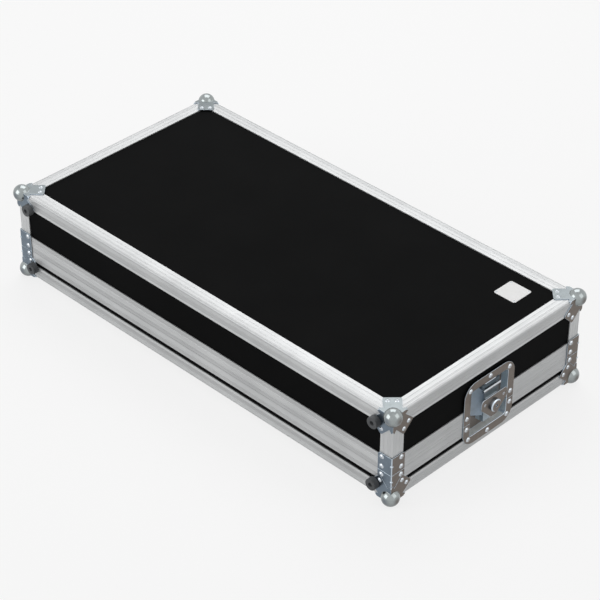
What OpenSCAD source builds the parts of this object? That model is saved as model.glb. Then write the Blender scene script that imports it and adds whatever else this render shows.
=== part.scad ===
// Flight case for a lighting console.
// A shallow base takes a deep hood that lifts straight off.
// A turn latch on each short side holds the two together.
// X runs along the case, -Y is the long side with the rubber feet, Z is up.
// The origin is centred under the case, at the height of what it stands on.

/* [Case] */
// Length over the edging
case_l = 778; // [560:1:1100]
// Width over the edging
case_w = 393; // [260:1:600]
// Height over the edging
case_h = 147; // [135:1:240]
// Height of the joint between base and hood
split_z = 47.5; // [45:0.5:60]
// Thickness of the panels
panel_t = 7; // [5:0.5:9]
// Thickness of the foam on the floor
floor_foam_t = 10; // [5:1:12]
// Thickness of the foam under the top
top_foam_t = 15; // [5:1:20]

/* [Edging] */
// Width of each flange of the edging
edge_w = 22; // [20:0.5:26]
// Wall of the edging
edge_t = 1.5; // [1:0.1:2.2]
// Radius of the edging's nose
nose_r = 2.4; // [1.8:0.1:3]
// Radius of the grooves along the edging
groove_r = 0.4; // [0.2:0.05:0.6]

/* [Closing band] */
// Height of the hood's band above the joint
rim_up = 25.2; // [20:0.2:30]
// Height of the base's band below the joint
rim_down = 17.9; // [14:0.1:20]
// Thickness of the band's web along the joint
web_t = 2; // [1:0.5:3]
// Height of the band's inner leg
inner_leg = 12; // [6:1:14]
// Height of the tongue that guides the hood
tongue_h = 5; // [3:0.5:8]
// Gap between tongue and hood
tongue_gap = 0.4; // [0.2:0.1:1]
// Gap at the joint
seam = 0.3; // [0.1:0.1:0.6]

/* [Ball corners] */
// Radius of the ball
ball_r = 13.25; // [11:0.25:14]
// Depth of the ball's centre inside the corner
ball_inset = 4.25; // [1:0.25:5]
// Sheet thickness of the corner piece
corner_t = 1.6; // [1:0.1:2.5]
// Length of a leg along the face diagonal
leg_end = 41.5; // [38:0.5:46]
// Width of a leg at its root
leg_w = 25; // [22:0.5:28]
// Width of a leg at its end
leg_end_w = 26.4; // [25:0.2:30]
// Radius of a leg's end corners
leg_r = 3; // [1:0.5:5]
// Length of the web along an edge
tab_l = 28; // [26:1:36]
// Depth of the notch in the web's end, at the corner's edge
tab_notch = 4; // [1:0.5:6]
// Distance of the web's tip from the corner's edge
tab_tip = 1.5; // [0.5:0.1:3]
// Depth of the web on a face
tab_h = 5; // [2:0.5:8]
// Distance of the fasteners from the corner, along the diagonal
leg_rivet_at = 34.6; // [33:0.2:36]
// Distance between a leg's two fasteners
leg_rivet_pitch = 12.8; // [12.8:0.1:15]

/* [Corner braces] */
// Width of each side of a brace
brace_w = 24.4; // [23:0.2:28]
// Sheet thickness of a brace
brace_t = 1.5; // [1:0.1:2.5]
// Outer radius of the bend
bend_r = 1.8; // [1.6:0.1:3.5]
// Height of the hood's brace above the joint
brace_up = 29.5; // [27:0.5:32]
// Height of the base's brace below the joint
brace_down = 23.5; // [20:0.5:25]
// Cut of a brace's free corner
brace_chamfer = 3; // [1:0.5:5]
// Distance of the rivets from the bend
brace_rivet_in = 17.3; // [12:0.1:19]
// Radius of the pressed gusset across the bend
gusset_r = 2.3; // [2:0.1:4]
// Pitch of the upper rivets, as a share of the brace's height
rivet_pitch_share = 0.55; // [0.5:0.01:0.6]

/* [Rivets] */
// Radius of the large rivet heads
rivet_r = 4; // [3:0.1:4.4]
// Height of the large rivet heads
rivet_h = 2.2; // [1:0.1:2.4]
// Radius of the rivet heads on the ball corners
leg_rivet_r = 3.5; // [2.5:0.1:3.5]
// Height of the rivet heads on the ball corners
leg_rivet_h = 1.9; // [1:0.1:2.4]
// Radius of the small rivet heads
small_rivet_r = 1.7; // [1:0.1:2]
// Height of the small rivet heads
small_rivet_h = 0.8; // [0.4:0.1:1.2]

/* [Rubber feet] */
// Radius of a foot at its base
foot_r = 9.2; // [7:0.1:9.2]
// Radius of a foot at its tip
foot_tip_r = 8.9; // [6:0.1:9.2]
// Height of a foot
foot_h = 9; // [8.5:0.5:14]
// Radius of the screw's hole
foot_hole_r = 3.4; // [2.5:0.1:4]
// Depth of the screw's hole
foot_hole_d = 4.5; // [3:0.5:6]

/* [Latch dish] */
// Width of the latch's flange
dish_w = 105; // [98:0.5:115]
// Height of the latch's flange
dish_h = 106.8; // [106:0.2:110]
// Corner radius of the flange
dish_r = 23; // [18:0.5:26]
// Sheet thickness of the dish
sheet_t = 1.5; // [1:0.1:2]
// Width of the recess
pocket_w = 77; // [72:0.5:79]
// Height of the recess
pocket_h = 78.6; // [76:0.2:79]
// Depth of the recess
pocket_d = 10; // [9:0.5:12]
// Radius of the recess's corners
pocket_r = 5; // [2:0.5:8]
// Distance of the joint below the latch's centre
split_drop = 14.9; // [13:0.1:17]
// Gap round the recess in panels and bands
pocket_fit = 0.3; // [0.2:0.1:1]
// Width at its foot of the ridge between the finger wells
ridge_w = 52; // [48:0.5:54]
// Width of the ridge's flat top
ridge_top_w = 24.6; // [22:0.2:26]
// Height of the ridge above the case's face
ridge_out = 2; // [1:0.1:2.5]
// Depth of the keep's step below the case's face
keep_d = 3; // [2.5:0.1:4]
// Height of the keep's step
keep_h = 11; // [10:0.5:12]
// Width of the keep's step
keep_w = 27; // [24:0.5:30]

/* [Latch works] */
// Height of the spindle above the latch's centre
spindle_up = 3.2; // [1:0.1:5]
// Radius of the spindle
spindle_r = 5; // [4:0.1:5.5]
// Running clearance of the spindle
spindle_fit = 0.05; // [0.02:0.01:0.1]
// Radius of the spindle's head
head_r = 10; // [8:0.5:12]
// Height of the spindle's head
head_h = 5; // [3:0.5:7]
// Travel of the claw over half a turn
claw_travel = 4; // [3:0.2:4.4]
// Width of the claw
claw_w = 27; // [25:0.5:30]
// Reach of the claw below the joint
claw_reach = 10; // [9:0.2:10.6]
// Length of the curl along the claw's top
bar_l = 35.4; // [30:0.2:38]
// Radius of the curl
bar_r = 2.2; // [1.8:0.1:2.4]
// Distance of the curl above the spindle
bar_up = 27.2; // [26:0.2:28]
// Play between the spindle's cam and the claw
cam_play = 0.7; // [0.6:0.1:1]
// Height of the wing's back above the case's face
wing_back = 9.5; // [9:0.1:10.5]
// Width of the wing plate
wing_w = 54; // [46:0.5:56]
// Reach of the wing plate above the spindle
wing_top = 18; // [16:0.2:20]
// Reach of the wing plate below the spindle
wing_down = 19; // [17:0.5:21]
// Height of the wing plate's knees above the spindle
wing_knee = 2; // [1:0.2:4]
// Radius of the wing plate's upper corners
wing_r = 6; // [3:0.5:8]
// Width of the rubber pad above the claw
pad_w = 36.4; // [30:0.2:40]
// Height of the pad above the case's face
pad_out = 3; // [2.8:0.1:4]

/* [Label plate] */
// Side of the square label plate
label_w = 39.2; // [30:0.2:50]
// Thickness of the label plate
label_t = 0.8; // [0.5:0.1:1.4]
// Distance of the label's centre from the right edge
label_in_x = 74.8; // [60:0.2:120]
// Distance of the label's centre from the back edge
label_in_y = 63.2; // [55:0.2:90]

/* [Handle] */
// Length of the handle's plate
handle_l = 142; // [130:1:160]
// Height of the handle's plate, as a share of the free height of the hood's back
handle_share = 0.84; // [0.8:0.01:0.88]
// Radius of the bail
bail_r = 3; // [2.5:0.1:3.4]
// Distance from the bail's pivot to its grip, as a share of the plate's height
bail_share = 0.55; // [0.5:0.01:0.6]
// Radius of the grip
grip_r = 7; // [5:0.2:7.2]
// Running clearance of the bail
bail_fit = 0.05; // [0.02:0.01:0.1]

/* [Hidden] */
$fn = 64;
// Overrun of every cut
over = 1;
// Clearance between neighbours that only lie beside each other
lie = 0.3;
// Places of the grooves, as shares of a flange's width
groove_shares = [0.15, 0.4, 0.72];
// Places of the grooves on the closing band, as shares of its height above and below the joint
rim_up_shares = [0.25, 0.64];
rim_down_shares = [0.6];

half_l = case_l / 2;
half_w = case_w / 2;
rim_top = split_z + rim_up;
rim_low = split_z - rim_down;
skin = edge_t + panel_t;
hood_low = split_z + seam / 2;
base_top = split_z - seam / 2;
// Thickness of the tongue
tongue_t = edge_t;
mitre_d = edge_w + over;

// Latch
latch_z = split_z + split_drop;
wing_t = sheet_t;
claw_t = sheet_t;
claw_back = ridge_out + lie;
claw_out = claw_back + claw_t;
// Gap between the claw and the keep's step
keep_gap = 0.4;
claw_low = split_drop + claw_reach;
cam_e = claw_travel / 2;
cam_r = spindle_r + cam_e + edge_t;
cam_h = claw_t * 2;
cam_w = claw_out + lie;
rib_t = sheet_t;
head_out = wing_back + wing_t + head_h;
// Radius and thickness of the collars that hold the spindle in its bush
collar_r = spindle_r + sheet_t;
collar_t = sheet_t;
bush_r = spindle_r + sheet_t * 2;
bush_h = sheet_t;
pad_low = spindle_up + bar_up + bar_r + lie;
dimple_r = small_rivet_r + edge_t / 2;
// Distances of the dish's rivets from its centre: beside it, above and below it
dish_rivet_u = 41;
dish_rivet_v = 42.2;
dish_rivet_mid_v = 47.8;
dish_rivet_side_u = 45.6;
dish_rivet_side_v = 3.3;
dish_rivet_low_v = 22.4;
// Distance of the wing's small rivets from the spindle, beside and above
wing_rivet_u = 19.6;
wing_rivet_v = 8.2;

// Handle
hood_free_h = case_h - edge_w - rim_top;
handle_z = rim_top + hood_free_h / 2;
handle_h = hood_free_h * handle_share;
bail_drop = handle_h * bail_share;
handle_t = edge_t;
handle_r = handle_h / 8;
ear_w = handle_h / 3;
ear_l = ear_w;
pivot_v = bail_drop / 2;
pivot_out = grip_r + lie;
bail_u = handle_l / 2 - ear_l - lie - bail_r;
grip_l = bail_u * 2 - bail_r * 4;
handle_out = pivot_out + grip_r;

// The whole case is moved so that the origin is centred under its box
foot_out = corner_t + foot_h;
shift_y = (foot_out - handle_out) / 2;
ball_out = ball_r - ball_inset;
diag = sqrt(2);

// Places

module set_down() {
  translate([0, shift_y, ball_out])
    children();
}

// Turns a piece made for the front to side 0 front, 1 right, 2 back, 3 left
module on_side(i) {
  rotate([0, 0, 90 * i])
    children();
}

function side_len(i) = i % 2 == 0 ? case_l : case_w;
function side_off(i) = i % 2 == 0 ? half_w : half_l;

module on_top() {
  translate([0, 0, case_h])
    mirror([0, 0, 1])
      children();
}

// Corner frame: the case's corner at zero, the case in the positive octant
module at_corner(right, back) {
  mirror([right, 0, 0])
    mirror([0, back, 0])
      translate([-half_l, -half_w, 0])
        children();
}

module at_corners() {
  for (right = [0, 1], back = [0, 1])
    at_corner(right, back)
      children();
}

// Latch frame: x to the right and y up on the case's face, z outward from it
module at_latch(turn) {
  rotate([0, 0, 180 * turn])
    translate([half_l, 0, latch_z])
      rotate([90, 0, 90])
        children();
}

module at_handle() {
  translate([0, half_w, handle_z])
    rotate([90, 0, 180])
      children();
}

// Shapes

module rounded(w, h, r) {
  square([w - 2 * r, h], center = true);
  square([w, h - 2 * r], center = true);
  for (x = [-1, 1], y = [-1, 1])
    translate([x * (w / 2 - r), y * (h / 2 - r)])
      circle(r);
}

module rivet(r, h) {
  cap = (r * r + h * h) / (2 * h);
  intersection() {
    translate([0, 0, h - cap])
      sphere(cap, $fn = 40);
    cylinder(h = h + over, r = r + over, $fn = 40);
  }
}

// Angle with a rounded outer corner at zero
module angle_2d(w, t, r) {
  difference() {
    square(w);
    translate([t, t])
      square(w);
    difference() {
      translate([-over, -over])
        square(r + over);
      translate([r, r])
        circle(r);
    }
  }
}

module edge_2d() {
  difference() {
    angle_2d(edge_w, edge_t, nose_r);
    for (s = groove_shares) {
      translate([s * edge_w, 0])
        circle(groove_r);
      translate([0, s * edge_w])
        circle(groove_r);
    }
  }
}

// Runs an outline along a side, its x inward and its y up, with both ends mitred
module run(i) {
  off = side_off(i);
  far = side_len(i) / 2;
  on_side(i)
    intersection() {
      translate([-far, -off, 0])
        rotate([90, 0, 90])
          linear_extrude(far * 2)
            children();
      translate([0, 0, -over])
        linear_extrude(case_h + 2 * over)
          polygon([
            [-far - over, -off - over],
            [far + over, -off - over],
            [far - mitre_d, -off + mitre_d],
            [-far + mitre_d, -off + mitre_d]
          ]);
    }
}

// Room that the latches need in panels, edging and bands
module latch_room() {
  room_w = pocket_w + 2 * (sheet_t + pocket_fit);
  room_h = pocket_h + 2 * (sheet_t + pocket_fit);
  for (turn = [0, 1])
    at_latch(turn)
      translate([-room_w / 2, -room_h / 2, -pocket_d - sheet_t - lie])
        cube([room_w, room_h, pocket_d + sheet_t + lie + over]);
}

// Panels

module panel(i, low, high) {
  len = i % 2 == 0 ? case_l - 2 * edge_t : case_w - 2 * skin;
  difference() {
    on_side(i)
      translate([-len / 2, -side_off(i) + edge_t, low])
        cube([len, panel_t, high - low]);
    latch_room();
  }
}

module base_panel(i) {
  panel(i, skin, base_top - web_t);
}

module hood_panel(i) {
  panel(i, hood_low + web_t, case_h - skin);
}

module flat_panel() {
  translate([-half_l + edge_t, -half_w + edge_t, edge_t])
    cube([case_l - 2 * edge_t, case_w - 2 * edge_t, panel_t]);
}

module foam(t) {
  wall = skin + lie;
  translate([-half_l + wall, -half_w + wall, wall])
    cube([case_l - 2 * wall, case_w - 2 * wall, t]);
}

// Edging and closing band

module base_edge(i) {
  difference() {
    run(i)
      edge_2d();
    latch_room();
  }
}

module hood_edge(i) {
  difference() {
    on_top()
      run(i)
        edge_2d();
    latch_room();
  }
}

module posts(low, high) {
  at_corners()
    translate([0, 0, low])
      linear_extrude(high - low)
        edge_2d();
}

module hood_rim_2d() {
  difference() {
    union() {
      translate([0, hood_low])
        square([edge_t, rim_top - hood_low]);
      translate([0, hood_low])
        square([skin + edge_t, web_t]);
      translate([skin, hood_low])
        square([edge_t, inner_leg]);
    }
    for (s = rim_up_shares)
      translate([0, split_z + s * rim_up])
        circle(groove_r);
  }
}

module base_rim_2d() {
  tongue_at = skin + edge_t + tongue_gap;
  difference() {
    union() {
      translate([0, rim_low])
        square([edge_t, base_top - rim_low]);
      translate([0, base_top - web_t])
        square([tongue_at + tongue_t, web_t]);
      translate([skin, base_top - inner_leg])
        square([edge_t, inner_leg]);
      translate([tongue_at, base_top - web_t])
        square([tongue_t, web_t + tongue_h]);
    }
    for (s = rim_down_shares)
      translate([0, split_z - s * rim_down])
        circle(groove_r);
  }
}

module hood_rim(i) {
  difference() {
    run(i)
      hood_rim_2d();
    latch_room();
  }
}

module base_rim(i) {
  difference() {
    run(i)
      base_rim_2d();
    latch_room();
  }
}

// Ball corners, made in the corner frame

// One face of a corner piece; grow widens it for the cut in a brace
module leg_2d(grow = 0) {
  low = -corner_t - grow;
  half = leg_w / 2 + grow;
  wide = leg_end_w / 2 + grow;
  far = leg_end + grow;
  root = half * diag;
  start = root / diag + tab_h * diag;
  reach = tab_l + grow;
  dip = reach - tab_notch;
  intersection() {
    union() {
      rotate(45) {
        polygon([
          [0, -half], [start, -half], [far - leg_r, -wide], [far - leg_r, wide], [start, half], [0, half]
        ]);
        translate([0, leg_r - wide])
          square([far, (wide - leg_r) * 2]);
        for (y = [-1, 1])
          translate([far - leg_r, y * (wide - leg_r)])
            circle(leg_r);
      }
      polygon([[low, low], [dip, low], [reach, tab_tip], [root + tab_h, tab_h], [low, tab_h]]);
      polygon([[low, low], [low, dip], [tab_tip, reach], [tab_h, root + tab_h], [tab_h, low]]);
    }
    translate([low, low])
      square(leg_end * 2);
  }
}

module on_faces() {
  children();
  rotate([90, 0, 0])
    mirror([0, 0, 1])
      children();
  rotate([90, 0, 90])
    children();
}

module corner_piece() {
  difference() {
    union() {
      on_faces()
        translate([0, 0, -corner_t])
          linear_extrude(corner_t)
            leg_2d();
      translate([ball_inset, ball_inset, ball_inset])
        sphere(ball_r);
    }
    cube(leg_end * 2);
  }
}

function leg_spot(far) = [
  (leg_rivet_at + far * leg_rivet_pitch / 2) / diag,
  (leg_rivet_at - far * leg_rivet_pitch / 2) / diag
];

// Fasteners of a corner piece; the outer one on a front face is the foot's screw
module corner_rivets(front) {
  for (far = [-1, 1]) {
    spot = leg_spot(far);
    translate([spot[0], spot[1], -corner_t])
      mirror([0, 0, 1])
        rivet(leg_rivet_r, leg_rivet_h);
    translate([-corner_t, spot[0], spot[1]])
      rotate([0, -90, 0])
        rivet(leg_rivet_r, leg_rivet_h);
    if (!front || far < 0)
      translate([spot[0], -corner_t, spot[1]])
        rotate([90, 0, 0])
          rivet(leg_rivet_r, leg_rivet_h);
  }
}

module at_foot() {
  for (right = [0, 1])
    at_corner(right, 0)
      translate([leg_spot(1)[0], -corner_t, leg_spot(1)[1]])
        rotate([90, 0, 0])
          children();
}

module foot() {
  difference() {
    cylinder(h = foot_h, r1 = foot_r, r2 = foot_tip_r);
    translate([0, 0, foot_h - foot_hole_d])
      cylinder(h = foot_hole_d + over, r = foot_hole_r);
  }
}

module foot_screw() {
  translate([0, 0, foot_h - foot_hole_d])
    rivet(foot_hole_r - lie, foot_hole_d / 3);
}

// Corner braces, made in the corner frame

module brace(low, high, chamfer_at) {
  difference() {
    union() {
      translate([-brace_t, -brace_t, low])
        linear_extrude(high - low)
          angle_2d(brace_w + brace_t, brace_t, bend_r);
      translate([0, 0, (low + high) / 2])
        difference() {
          sphere(gusset_r);
          translate([0, 0, -gusset_r])
            cube(gusset_r * 2);
        }
    }
    for (flip = [0, 1])
      mirror([flip, -flip, 0])
        translate([brace_w, over, chamfer_at])
          rotate([90, 45, 0])
            translate([0, 0, -over])
              linear_extrude(brace_t + 3 * over)
                square(brace_chamfer * diag, center = true);
  }
}

module hood_brace() {
  brace(hood_low, hood_low + brace_up, hood_low + brace_up);
}

// The corner piece's legs lie beside the base's brace
module base_brace() {
  difference() {
    brace(base_top - brace_down, base_top, base_top - brace_down);
    rotate([90, 0, 0])
      translate([0, 0, -over])
        linear_extrude(brace_t + 2 * over)
          leg_2d(lie);
    rotate([90, 0, 90])
      translate([0, 0, -brace_t - over])
        linear_extrude(brace_t + 2 * over)
          leg_2d(lie);
    translate([ball_inset, ball_inset, ball_inset])
      sphere(ball_r + lie);
  }
}

module brace_rivets(heights) {
  for (z = heights) {
    translate([brace_rivet_in, -brace_t, z])
      rotate([90, 0, 0])
        rivet(rivet_r, rivet_h);
    translate([-brace_t, brace_rivet_in, z])
      rotate([0, -90, 0])
        rivet(rivet_r, rivet_h);
  }
}

// Latch, made in the latch frame

module dish_shell() {
  difference() {
    union() {
      linear_extrude(sheet_t)
        rounded(dish_w, dish_h, dish_r);
      translate([0, 0, -pocket_d - sheet_t])
        linear_extrude(pocket_d + sheet_t)
          rounded(pocket_w + 2 * sheet_t, pocket_h + 2 * sheet_t, pocket_r + sheet_t);
    }
    translate([0, 0, -pocket_d])
      linear_extrude(pocket_d + sheet_t + over)
        rounded(pocket_w, pocket_h, pocket_r);
  }
}

module above_joint() {
  translate([-dish_w, seam / 2 - split_drop, -dish_w])
    cube([dish_w * 2, dish_h, dish_w * 2]);
}

module below_joint() {
  translate([-dish_w, -dish_h - split_drop - seam / 2, -dish_w])
    cube([dish_w * 2, dish_h, dish_w * 2]);
}

// Outline of the ridge between the finger wells, its x beside and its y outward
module ridge_2d() {
  polygon([
    [-ridge_w / 2, -pocket_d], [ridge_w / 2, -pocket_d],
    [ridge_top_w / 2, ridge_out], [-ridge_top_w / 2, ridge_out]
  ]);
}

module ridge(low, high) {
  translate([0, high, 0])
    rotate([90, 0, 0])
      linear_extrude(high - low)
        ridge_2d();
}

module dish() {
  low = seam / 2 - split_drop;
  high = pocket_h / 2;
  bush_back = ridge_out - sheet_t - bush_h;
  difference() {
    union() {
      intersection() {
        dish_shell();
        above_joint();
      }
      ridge(low, high);
    }
    translate([0, 0, -sheet_t])
      ridge(low - over, high);
    translate([0, spindle_up, bush_back])
      cylinder(h = ridge_out - bush_back + over, r = spindle_r + spindle_fit);
  }
  translate([0, spindle_up, bush_back])
    difference() {
      cylinder(h = bush_h, r = bush_r);
      translate([0, 0, -over])
        cylinder(h = bush_h + 2 * over, r = spindle_r + spindle_fit);
    }
}

// Lower half of the dish, with the step that the claw reaches to
module keep() {
  step_top = -split_drop - seam / 2;
  intersection() {
    dish_shell();
    below_joint();
  }
  translate([-keep_w / 2, step_top - keep_h, -pocket_d])
    cube([keep_w, keep_h, pocket_d - keep_d]);
}

// The pad lies on the ridge
module pad() {
  pad_top = pocket_h / 2 - lie;
  difference() {
    translate([-pad_w / 2, pad_low, -pocket_d])
      cube([pad_w, pad_top - pad_low, pocket_d + pad_out]);
    ridge(pad_low - over, pad_top + over);
  }
}

module spindle() {
  front = ridge_out + lie;
  back = ridge_out - sheet_t - bush_h - lie - collar_t;
  socket_r = spindle_r / 2;
  translate([0, spindle_up, 0])
    difference() {
      union() {
        translate([0, 0, back])
          cylinder(h = head_out - back, r = spindle_r);
        for (w = [back, front])
          translate([0, 0, w])
            cylinder(h = collar_t, r = collar_r);
        translate([0, cam_e, cam_w])
          cylinder(h = cam_h, r = cam_r);
        translate([0, 0, head_out - head_h])
          cylinder(h = head_h - edge_t, r = head_r);
        translate([0, 0, head_out - edge_t])
          cylinder(h = edge_t, r1 = head_r, r2 = head_r - edge_t);
      }
      translate([0, 0, head_out - head_h / 2])
        cylinder(h = head_h, r = socket_r);
    }
}

module wing_2d() {
  half = wing_w / 2;
  foot = half - wing_down - wing_knee;
  translate([0, wing_top - wing_r])
    square([wing_w - 2 * wing_r, wing_r * 2], center = true);
  for (x = [-1, 1])
    translate([x * (half - wing_r), wing_top - wing_r])
      circle(wing_r);
  polygon([
    [-half, wing_top - wing_r], [half, wing_top - wing_r], [half, wing_knee],
    [foot, -wing_down], [-foot, -wing_down], [-half, wing_knee]
  ]);
}

module wing() {
  translate([0, spindle_up, wing_back]) {
    difference() {
      linear_extrude(wing_t)
        wing_2d();
      translate([0, 0, -over])
        cylinder(h = wing_t + 2 * over, r = spindle_r + spindle_fit);
    }
    for (x = [-1, 1])
      translate([x * wing_rivet_u, wing_rivet_v, wing_t])
        rivet(dimple_r, small_rivet_h);
  }
}

// Sliding plate with a curl along its top, two ribs for the cam and a boxed lower end
module claw() {
  half = claw_w / 2;
  box_top = -split_drop - seam / 2 - lie;
  box_back = keep_gap - keep_d;
  rib_l = claw_w - 2 * claw_t;
  difference() {
    union() {
      translate([-half, -claw_low, claw_back])
        cube([claw_w, claw_low + spindle_up + bar_up, claw_t]);
      translate([-half, -claw_low, box_back])
        cube([claw_w, claw_low + box_top, claw_back - box_back + claw_t]);
    }
    translate([claw_t - half, claw_t - claw_low, box_back - over])
      cube([claw_w - 2 * claw_t, claw_low + box_top, claw_back - box_back + over]);
    claw_slot();
  }
  translate([-bar_l / 2, spindle_up + bar_up, claw_back + bar_r])
    rotate([0, 90, 0])
      cylinder(h = bar_l, r = bar_r);
  for (v = [cam_e - cam_r - cam_play - rib_t, cam_e + cam_r + cam_play])
    translate([-rib_l / 2, spindle_up + v, claw_back])
      cube([rib_l, rib_t, cam_w + cam_h - claw_back]);
}

// Slot that lets the claw slide past the spindle's collar
module claw_slot() {
  slot_r = collar_r + lie;
  translate([0, 0, claw_back - over]) {
    for (v = [spindle_up, spindle_up + claw_travel])
      translate([0, v, 0])
        cylinder(h = claw_t + 2 * over, r = slot_r);
    translate([-slot_r, spindle_up, 0])
      cube([slot_r * 2, claw_travel, claw_t + 2 * over]);
  }
}

module dish_rivet(u, v) {
  translate([u, v, sheet_t])
    rivet(rivet_r, rivet_h);
}

module dish_rivets_up() {
  for (x = [-1, 1]) {
    dish_rivet(x * dish_rivet_u, dish_rivet_v);
    dish_rivet(x * dish_rivet_side_u, -dish_rivet_side_v);
  }
  dish_rivet(0, dish_rivet_mid_v);
}

module dish_rivets_down() {
  for (x = [-1, 1]) {
    dish_rivet(x * dish_rivet_u, -dish_rivet_v);
    dish_rivet(x * dish_rivet_side_u, -dish_rivet_low_v);
  }
  dish_rivet(0, -dish_rivet_mid_v);
}

// Label plate

module at_label() {
  translate([half_l - label_in_x, half_w - label_in_y, case_h - edge_t])
    children();
}

// Handle, made in the handle frame

module handle_plate_body() {
  ear_v = pivot_v - ear_w / 2;
  difference() {
    union() {
      translate([0, 0, -edge_t])
        linear_extrude(handle_t)
          rounded(handle_l, handle_h, handle_r);
      for (x = [-1, 1])
        translate([x * (handle_l - ear_l) / 2 - ear_l / 2, ear_v, -edge_t])
          cube([ear_l, ear_w, pivot_out + bail_r + 2 * edge_t]);
    }
    translate([-handle_l / 2 + edge_t, pivot_v, pivot_out])
      rotate([0, 90, 0])
        cylinder(h = handle_l - 2 * edge_t, r = bail_r + bail_fit);
  }
}

module bail() {
  stub = handle_l / 2 - edge_t - lie - bail_u;
  for (x = [-1, 1])
    translate([x * bail_u, pivot_v, pivot_out]) {
      rotate([0, x * 90, 0])
        cylinder(h = stub, r = bail_r);
      rotate([90, 0, 0])
        cylinder(h = bail_drop, r = bail_r);
      sphere(bail_r);
      translate([0, -bail_drop, 0])
        sphere(bail_r);
    }
  translate([-bail_u, pivot_v - bail_drop, pivot_out])
    rotate([0, 90, 0])
      cylinder(h = bail_u * 2, r = bail_r);
}

module grip() {
  translate([-grip_l / 2, pivot_v - bail_drop, pivot_out])
    rotate([0, 90, 0])
      difference() {
        cylinder(h = grip_l, r = grip_r);
        translate([0, 0, -over])
          cylinder(h = grip_l + 2 * over, r = bail_r + bail_fit);
      }
}

module handle_rivets() {
  for (x = [-1, 1])
    translate([x * (handle_l / 2 - ear_l / 2), -handle_h / 2 + ear_w / 2, handle_t - edge_t])
      rivet(rivet_r, rivet_h);
}

// Sub-parts

module base_floor() {
  color("DimGray") set_down() flat_panel();
}

module base_panel_front() {
  color("DimGray") set_down() base_panel(0);
}

module base_panel_right() {
  color("DimGray") set_down() base_panel(1);
}

module base_panel_back() {
  color("DimGray") set_down() base_panel(2);
}

module base_panel_left() {
  color("DimGray") set_down() base_panel(3);
}

module base_edge_front() {
  color("Silver") set_down() base_edge(0);
}

module base_edge_right() {
  color("Silver") set_down() base_edge(1);
}

module base_edge_back() {
  color("Silver") set_down() base_edge(2);
}

module base_edge_left() {
  color("Silver") set_down() base_edge(3);
}

module base_posts() {
  color("Silver") set_down() posts(edge_w, rim_low);
}

module base_rim_front() {
  color("Gainsboro") set_down() base_rim(0);
}

module base_rim_right() {
  color("Gainsboro") set_down() base_rim(1);
}

module base_rim_back() {
  color("Gainsboro") set_down() base_rim(2);
}

module base_rim_left() {
  color("Gainsboro") set_down() base_rim(3);
}

module base_corner_front_right() {
  color("LightSteelBlue") set_down() at_corner(1, 0) corner_piece();
}

module base_corner_back_right() {
  color("LightSteelBlue") set_down() at_corner(1, 1) corner_piece();
}

module base_corner_back_left() {
  color("LightSteelBlue") set_down() at_corner(0, 1) corner_piece();
}

module base_corner_front_left() {
  color("LightSteelBlue") set_down() at_corner(0, 0) corner_piece();
}

module base_braces() {
  color("SlateGray") set_down() at_corners() base_brace();
}

module base_fasteners() {
  color("WhiteSmoke") set_down() {
    for (right = [0, 1], back = [0, 1])
      at_corner(right, back)
        corner_rivets(back == 0);
    at_corners()
      brace_rivets([base_top - rivet_r * 1.6]);
    for (turn = [0, 1])
      at_latch(turn)
        dish_rivets_down();
    at_foot()
      foot_screw();
  }
}

module base_feet() {
  color("DarkSlateGray") set_down() at_foot() foot();
}

module base_foam() {
  color("Gray") set_down()
    difference() {
      foam(floor_foam_t);
      latch_room();
    }
}

module keep_right() {
  color("SteelBlue") set_down() at_latch(0) keep();
}

module keep_left() {
  color("SteelBlue") set_down() at_latch(1) keep();
}

module hood_top() {
  color("DimGray") set_down() on_top() flat_panel();
}

module hood_panel_front() {
  color("DimGray") set_down() hood_panel(0);
}

module hood_panel_right() {
  color("DimGray") set_down() hood_panel(1);
}

module hood_panel_back() {
  color("DimGray") set_down() hood_panel(2);
}

module hood_panel_left() {
  color("DimGray") set_down() hood_panel(3);
}

module hood_edge_front() {
  color("Silver") set_down() hood_edge(0);
}

module hood_edge_right() {
  color("Silver") set_down() hood_edge(1);
}

module hood_edge_back() {
  color("Silver") set_down() hood_edge(2);
}

module hood_edge_left() {
  color("Silver") set_down() hood_edge(3);
}

module hood_posts() {
  color("Silver") set_down() posts(rim_top, case_h - edge_w);
}

module hood_rim_front() {
  color("Gainsboro") set_down() hood_rim(0);
}

module hood_rim_right() {
  color("Gainsboro") set_down() hood_rim(1);
}

module hood_rim_back() {
  color("Gainsboro") set_down() hood_rim(2);
}

module hood_rim_left() {
  color("Gainsboro") set_down() hood_rim(3);
}

module hood_corner_front_right() {
  color("LightSteelBlue") set_down() on_top() at_corner(1, 0) corner_piece();
}

module hood_corner_back_right() {
  color("LightSteelBlue") set_down() on_top() at_corner(1, 1) corner_piece();
}

module hood_corner_back_left() {
  color("LightSteelBlue") set_down() on_top() at_corner(0, 1) corner_piece();
}

module hood_corner_front_left() {
  color("LightSteelBlue") set_down() on_top() at_corner(0, 0) corner_piece();
}

module hood_braces() {
  color("SlateGray") set_down() at_corners() hood_brace();
}

module hood_fasteners() {
  first = hood_low + brace_up / 4;
  color("WhiteSmoke") set_down() {
    on_top() {
      for (right = [0, 1], back = [0, 1])
        at_corner(right, back)
          corner_rivets(back == 0);
      at_foot()
        foot_screw();
    }
    at_corners()
      brace_rivets([first, first + brace_up * rivet_pitch_share]);
    for (turn = [0, 1])
      at_latch(turn)
        dish_rivets_up();
    at_label()
      for (x = [-1, 1], y = [-1, 1])
        translate([x * (label_w / 2 - small_rivet_r * 2), y * (label_w / 2 - small_rivet_r * 2), label_t])
          rivet(small_rivet_r, small_rivet_h);
    at_handle()
      handle_rivets();
  }
}

module hood_feet() {
  color("DarkSlateGray") set_down() on_top() at_foot() foot();
}

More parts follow.
